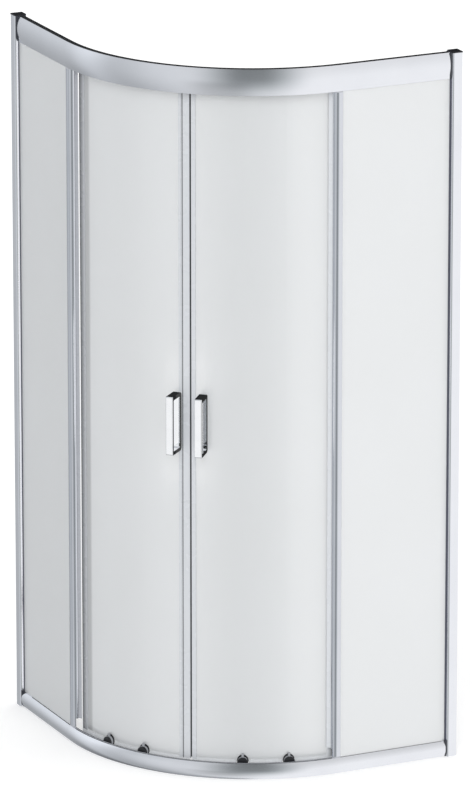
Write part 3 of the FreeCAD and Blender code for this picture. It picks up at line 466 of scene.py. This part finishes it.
def along_door(tree, place):
    """Output with the distance along the door's arc from the meeting line."""
    arm = add(tree, "ShaderNodeVectorMath", (place, (ARC_CENTRE, ARC_CENTRE, 0)),
              operation="SUBTRACT").outputs[0]
    arm = add(tree, "ShaderNodeSeparateXYZ", (arm,)).outputs
    angle = add(tree, "ShaderNodeMath", (arm["Y"], arm["X"]), operation="ARCTAN2").outputs[0]
    angle = add(tree, "ShaderNodeMath", (angle, MEETING_LINE), operation="SUBTRACT").outputs[0]
    angle = add(tree, "ShaderNodeMath", (angle,), operation="ABSOLUTE").outputs[0]
    return add(tree, "ShaderNodeMath", (angle, DOOR_RADIUS), operation="MULTIPLY").outputs[0]


# %% [markdown]
# ## Satin glass
# The panes are toughened float glass with an acid-etched face. Etching scatters the light that
# goes through, so the pane looks like a pale even veil. Most of the light is scattered back and
# some passes on, so the finish is a white paint mixed with rough glass. Real etching is far finer
# than the 1.2 mm drawn here, which is as fine as shows. Only the inner face is etched. The outer
# one stays polished and mirrors a little of the room, and the shader's coat layer draws that. Light
# comes back from more than one face, so the layer mirrors more than bare glass would. A faint
# cloudiness keeps the pane from looking like card, and its upper edge is green.
#
# Beside the left post the real door is grey, because it mirrors the dark side of the post. That
# reflection is painted on here as a grey band, as the real door is set a little deeper than this one.

# %% Satin glass
ETCH_GRAIN = 1.2 * MM
ETCH_DEPTH = 0.05 * MM
ETCH_STRENGTH = 0.05
ETCH_ROUGH = (0.42, 0.5)
PANE_CLOUD = 350 * MM
EDGE_FACING = 0.7
# The painted reflection of the post starts, and reaches its full depth, at these distances from the meeting
# line.
REFLECTION_STARTS = 0.338
REFLECTION_FULL = 0.351


def satin_glass(name, reflection_depth):
    """Etched glass, with a painted reflection of the post as a grey band along a door's back edge, by
    reflection_depth.
    """
    finish, tree = blank(name)
    place = add(tree, "ShaderNodeTexCoord").outputs["Object"]
    etch = add(tree, "ShaderNodeTexNoise",
               {"Vector": place, "Scale": 1 / ETCH_GRAIN, "Detail": 2.0}).outputs["Fac"]
    _, tint = drift(tree, place, PANE_CLOUD, "#eaecee", "#e6e8e9", detail=2.0)
    along = along_door(tree, place)
    # Painted reflection: a grey band near the door's back edge stands for the dark side of the post
    # mirrored in the glass.
    post_reflection = add(tree, "ShaderNodeMapRange", (along, REFLECTION_STARTS, REFLECTION_FULL, 0.0, reflection_depth),
               interpolation_type="SMOOTHSTEP").outputs[0]
    tint = add(tree, "ShaderNodeMix", {0: post_reflection, 6: tint, 7: linear("#5c5d60")}, data_type="RGBA").outputs[2]
    facing = add(tree, "ShaderNodeNewGeometry").outputs["Normal"]
    upward = add(tree, "ShaderNodeSeparateXYZ", (facing,)).outputs["Z"]
    edge = add(tree, "ShaderNodeMath", (upward, EDGE_FACING), operation="GREATER_THAN").outputs[0]
    tint = add(tree, "ShaderNodeMix", {0: edge, 6: tint, 7: linear("#a9c4b8")}, data_type="RGBA").outputs[2]
    rough = add(tree, "ShaderNodeMapRange", (etch, *NOISE_SPAN, *ETCH_ROUGH)).outputs[0]
    bump = add(tree, "ShaderNodeBump",
               {"Height": etch, "Strength": ETCH_STRENGTH, "Distance": ETCH_DEPTH}).outputs[0]
    glass = add(tree, "ShaderNodeBsdfPrincipled", {
        "Base Color": tint, "Roughness": rough, "IOR": 1.52, "Transmission Weight": 0.3, "Normal": bump,
        "Coat Weight": 1.0, "Coat Roughness": 0.2, "Coat IOR": 2.2})
    add(tree, "ShaderNodeOutputMaterial", {"Surface": glass.outputs[0]})
    return finish


# How deep the painted reflection of the post is: none on the fixed panes and right door, some on the left
# door.
NO_POST_REFLECTION = 0.0
POST_REFLECTION_DEPTH = 0.4

dress(satin_glass("acid_etched_toughened_glass", NO_POST_REFLECTION), "fixed_glass", "door_glass_right")
dress(satin_glass("acid_etched_toughened_glass_painted_post_reflection", POST_REFLECTION_DEPTH), "door_glass_left")

# %% [markdown]
# ## Thin trim
# Some trim is too thin and soft to be a solid with a weight of its own, so it is made here. A small
# section is carried round the arc of the front, step by step, and each step is joined to the one
# before. A curve with a bevel would do too, but here the edges stay square.

# %% Curved strips
STEP_ANGLE = 1.1


def curved_strip(name, body, radii, heights, spans):
    """Thin strip round the arc, in one or more lengths between two angles, which rides on a body."""
    form = bmesh.new()
    outer, inner = radii
    low, high = heights
    section = ((outer, low), (outer, high), (inner, high), (inner, low))
    for first, last in spans:
        rings = []
        steps = math.ceil(abs(last - first) / STEP_ANGLE)
        for step in range(steps + 1):
            angle = math.radians(first + (last - first) * step / steps)
            x, y = math.cos(angle), math.sin(angle)
            rings.append([form.verts.new((ARC_CENTRE + r * x, ARC_CENTRE + r * y, z)) for r, z in section])
        for ring, following in zip(rings, rings[1:]):
            for i in range(len(section)):
                form.faces.new((ring[i], ring[i - 1], following[i - 1], following[i]))
        form.faces.new(rings[0])
        form.faces.new(reversed(rings[-1]))
    bmesh.ops.recalc_face_normals(form, faces=form.faces)
    mesh = bpy.data.meshes.new(name)
    form.to_mesh(mesh)
    form.free()
    strip = bpy.data.objects.new(name, mesh)
    scene.collection.objects.link(strip)
    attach(strip, body)
    return strip


# %% [markdown]
# The gap between a door and the bottom rail is closed by a soft strip, one millimetre thick, which
# hangs in front of the wiper, stops at the rollers and moves with its door. A cover strip lies in
# the groove of the bottom rail from post to post, where there is no pane to fill it. Radii and
# heights are in metres, angles in degrees, and those along a door are counted from its back edge.

# %% Drip strips and cover strip
DOOR_SWEEP = 45.0
DOOR_EDGE = {"left": MEETING_ANGLE - DOOR_SWEEP, "right": MEETING_ANGLE + DOOR_SWEEP}
TOWARDS_MEETING = {"left": 1, "right": -1}
STRIP_RADII = (0.5165, 0.5155)
STRIP_HEIGHTS = (0.032, 0.0412)
STRIP_LENGTHS = ((0.9, 13.7), (17.7, 27.4), (31.4, 44.7))
COVER_RADII = (0.5384, 0.5336)
COVER_HEIGHTS = (0.0414, 0.0428)
COVER_SPAN = (181.2, 268.8)


def drip_strip(side):
    """Strip along the foot of one door, in lengths between the rollers."""
    edge, way_in = DOOR_EDGE[side], TOWARDS_MEETING[side]
    spans = [(edge + way_in * first, edge + way_in * last) for first, last in STRIP_LENGTHS]
    return curved_strip("drip_strip_" + side, "door_" + side, STRIP_RADII, STRIP_HEIGHTS, spans)


strips = [drip_strip(side) for side in DOOR_EDGE]
cover = curved_strip("cover_strip", "frame", COVER_RADII, COVER_HEIGHTS, [COVER_SPAN])
print("strips", [len(strip.data.polygons) for strip in strips + [cover]])

# %% [markdown]
# ## Soft seals
# The strips on the door edges are extruded PVC, milky where it lies on the pale pane, with a smooth
# skin. They catch a narrow highlight along their length. Two places get painted shade: the soft lip
# at the back edge of each door, beside the post, and a groove along the wide meeting seal. Both are
# found by the distance along the door. Real PVC lets some light through, but against the pale pane
# a solid white looks the same and has less noise.

# %% Milky PVC
PVC_HAZE = 40 * MM
PVC_ROUGH = (0.24, 0.3)
# Painted shade falls on the lip beside the post and in the meeting seal's groove, at these distances in
# metres from the meeting line.
LIP_STARTS = 0.366
LIP_DARKEST = 0.389
GROOVE_MIDDLE = 0.0222
GROOVE_HALF = 0.0018


def milky_pvc(name, pale, deep, shade_depth):
    """Extruded PVC with painted shade in the groove and at the back edge of a door, by the amount in
    shade_depth.
    """
    finish, tree = blank(name)
    place = add(tree, "ShaderNodeTexCoord").outputs["Object"]
    haze, tint = drift(tree, place, PVC_HAZE, pale, deep, detail=2.0)
    along = along_door(tree, place)
    # Painted shade: the lip beside the post and the groove are darkened towards a dark grey.
    lip = add(tree, "ShaderNodeMapRange", (along, LIP_STARTS, LIP_DARKEST, 0.0, shade_depth),
              interpolation_type="SMOOTHSTEP").outputs[0]
    groove = add(tree, "ShaderNodeMath", (along, GROOVE_MIDDLE, GROOVE_HALF),
                 operation="COMPARE").outputs[0]
    groove = add(tree, "ShaderNodeMath", (groove, shade_depth), operation="MULTIPLY").outputs[0]
    painted_shade = add(tree, "ShaderNodeMath", (lip, groove), operation="MAXIMUM").outputs[0]
    tint = add(tree, "ShaderNodeMix", {0: painted_shade, 6: tint, 7: linear("#3c3d40")},
               data_type="RGBA").outputs[2]
    rough = add(tree, "ShaderNodeMapRange", (haze, *NOISE_SPAN, *PVC_ROUGH)).outputs[0]
    pvc = add(tree, "ShaderNodeBsdfPrincipled", {"Base Color": tint, "Roughness": rough, "IOR": 1.53})
    add(tree, "ShaderNodeOutputMaterial", {"Surface": pvc.outputs[0]})
    return finish


# %% [markdown]
# The seals beside the left post are greyer copies of those on the right, as painted shade from the
# post, and the cover strip in the rail's groove gets the same grey, also as painted shade. Each kind
# gets its own colours and its own amount of painted shade.

# %% Seals and strips
# How much painted shade each seal gets, at the lip and in the groove.
NO_SHADE = 0.0
LEFT_LIP_SHADE = 0.56
FULL_SHADE = 0.75

strip_finish = milky_pvc("extruded_milky_pvc", "#e6e8ea", "#dfe2e5", NO_SHADE)
# Painted shade: a grey copy of the PVC for the cover strip in the rail's groove and the seal beside the
# left post.
shaded_pvc_finish = milky_pvc("extruded_pvc_in_painted_shade", "#b0b3b9", "#a8abb2", NO_SHADE)
dress(strip_finish, "bottom_wiper")
dress(shaded_pvc_finish, "post_seal_left")
dress(milky_pvc("extruded_light_grey_pvc", "#dadde1", "#d3d6db", NO_SHADE), "post_seal_right")
dress(milky_pvc("extruded_milky_pvc_grooved", "#d0d3d7", "#cacdd2", FULL_SHADE), "meeting_seal")
# Painted shade: the lip beside the left post is a darker copy of the right one.
dress(milky_pvc("extruded_milky_pvc_left_lip_in_painted_shade", "#bec1c5", "#b8bbc0", LEFT_LIP_SHADE), "edge_seal_left")
dress(milky_pvc("extruded_milky_pvc_right_lip", "#eaecee", "#e4e7ea", FULL_SHADE), "edge_seal_right")
for strip in strips:
    strip.data.materials.append(strip_finish)
cover.data.materials.append(shaded_pvc_finish)

# %% [markdown]
# Soft parts and panes are kept out of mirror reflections, because the bright metal in the
# photograph shows only the studio.

# %% Hidden from mirrors
PALE_PIECES = ("fixed_glass", "door_glass", "edge_seal", "meeting_seal", "bottom_wiper", "post_seal")

unmirrored = [piece for name, piece in pieces.items() if name.startswith(PALE_PIECES)] + strips + [cover]
for piece in unmirrored:
    piece.visible_glossy = False
print("hidden from mirrors", len(unmirrored))

# %% [markdown]
# ## Magnet rubber
# The magnet in a meeting seal is dark rubber, filled with ferrite powder and extruded. It shows as
# a dull dark line between the lips of the seals. The powder is much finer than the grain of 0.6 mm
# that is drawn here to show at all.

# %% Magnet rubber
FERRITE_GRAIN = 0.6 * MM

finish, tree = blank("ferrite_magnet_rubber")
place = add(tree, "ShaderNodeTexCoord").outputs["Object"]
_, tint = drift(tree, place, FERRITE_GRAIN, "#3a3b3e", "#4b4c50", detail=3.0)
core = add(tree, "ShaderNodeBsdfPrincipled", {"Base Color": tint, "Roughness": 0.7})
add(tree, "ShaderNodeOutputMaterial", {"Surface": core.outputs[0]})
dress(finish, "magnet_strip")

# %% [markdown]
# ## Moulded plastics and rubber
# Roller housings, caps and plugs are injection-moulded ABS. The mould's face is spark eroded, which
# gives a grain of about 0.3 mm and a soft sheen. Such a grain could be modelled, but it is far below
# what shows, so a bump stands for it. The skins here differ only in colour, grain and sheen, so one
# function makes them all.

# %% Moulded skins
SHEEN_DRIFT = 0.05
GRAIN_DEPTH = 0.1 * MM


def moulded(name, pale, deep, sheen, grain_size, strength):
    """A moulded or extruded skin with a fine grain between two colours."""
    finish, tree = blank(name)
    place = add(tree, "ShaderNodeTexCoord").outputs["Object"]
    grain, tint = drift(tree, place, grain_size, deep, pale, detail=3.0)
    rough = add(tree, "ShaderNodeMapRange",
                (grain, *NOISE_SPAN, sheen - SHEEN_DRIFT, sheen + SHEEN_DRIFT)).outputs[0]
    bump = add(tree, "ShaderNodeBump",
               {"Height": grain, "Strength": strength, "Distance": GRAIN_DEPTH}).outputs[0]
    skin = add(tree, "ShaderNodeBsdfPrincipled",
               {"Base Color": tint, "Roughness": rough, "IOR": 1.53, "Normal": bump})
    add(tree, "ShaderNodeOutputMaterial", {"Surface": skin.outputs[0]})
    return finish


# %% [markdown]
# Connectors are ABS in dark grey. Sliders and wheels are acetal, which is smoother and a little
# waxy. Glazing strips and door stops are EPDM rubber with a dull, slightly dusty skin.

# %% Plastics and rubber
ABS = {"grain_size": 0.3 * MM, "strength": 0.12}
ACETAL = {"grain_size": 0.4 * MM, "strength": 0.06}
EPDM = {"grain_size": 0.5 * MM, "strength": 0.1}

dress(moulded("moulded_black_abs", "#1c1d22", "#141519", sheen=0.38, **ABS), "roller_housing", "wall_caps")
dress(moulded("moulded_grey_abs", "#383b43", "#2f3239", sheen=0.45, **ABS),
      "top_connector", "bottom_connector")
dress(moulded("moulded_light_grey_abs", "#b9bcc2", "#aeb1b8", sheen=0.45, **ABS), "post_plugs")
dress(moulded("extruded_grey_epdm", "#565866", "#4a4c58", sheen=0.6, **EPDM), "jamb_gasket")
dress(moulded("moulded_black_epdm", "#2b2c2f", "#1f2022", sheen=0.65, **EPDM), "door_stops")
dress(moulded("moulded_grey_acetal", "#a4a7ac", "#989ba0", sheen=0.35, **ACETAL), "release_slider")
dress(moulded("turned_white_acetal", "#dfdfda", "#d3d3ce", sheen=0.3, **ACETAL),
      "top_wheel", "bottom_wheel")

# %% [markdown]
# ## Chrome and steel
# Handles, hangers and caps are brass with a thin layer of nickel and chrome. Plating copies the
# polished metal under it, so the mirror is sharp, with only a trace of wipe marks. Screws and
# springs are stainless steel, turned and drawn, and a little rougher.

# %% Chrome and steel
WIPE_MARK = 25 * MM
TOOL_MARK = 2 * MM
CHROME_ROUGH = (0.04, 0.09)
STEEL_ROUGH = (0.2, 0.32)


def bright_metal(name, pale, deep, mark_size, roughness):
    """A bare or plated metal whose roughness drifts a little over its face."""
    finish, tree = blank(name)
    place = add(tree, "ShaderNodeTexCoord").outputs["Object"]
    marks, tint = drift(tree, place, mark_size, pale, deep, detail=3.0)
    rough = add(tree, "ShaderNodeMapRange", (marks, *NOISE_SPAN, *roughness)).outputs[0]
    metal = add(tree, "ShaderNodeBsdfPrincipled", {"Base Color": tint, "Metallic": 1.0, "Roughness": rough})
    add(tree, "ShaderNodeOutputMaterial", {"Surface": metal.outputs[0]})
    return finish


dress(bright_metal("chrome_plated_brass", "#f6f7f9", "#eef0f3", WIPE_MARK, CHROME_ROUGH),
      "door_handle", "handle_bolts", "top_hangers")
dress(bright_metal("stainless_steel", "#c9cacb", "#b9babc", TOOL_MARK, STEEL_ROUGH),
      "connector_screws", "lock_screws", "release_spring")

# %% [markdown]
# ## Copies of the springs
# Each release slider presses on a small coil spring, which gets shorter as the slider goes down. A
# copy of each spring, with a mesh of its own, stands in its place and rides with its door. A solid
# can't do that, so a copy of it stands in its place.


def soft_spring(place, side):
    """Copy of a release spring, with its own mesh, that rides with its door."""
    node = f"release_spring_{place}_{side}"
    coil = bpy.data.objects.new(f"coil_{place}_{side}", pieces[node].data.copy())
    scene.collection.objects.link(coil)
    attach(coil, "door_" + side)
    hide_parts(node)
    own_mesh(coil)
    return coil


coils = [soft_spring(place, side) for side in ("left", "right") for place in ("lead", "trail")]
print("coils", [coil.material_slots[0].material.name for coil in coils])
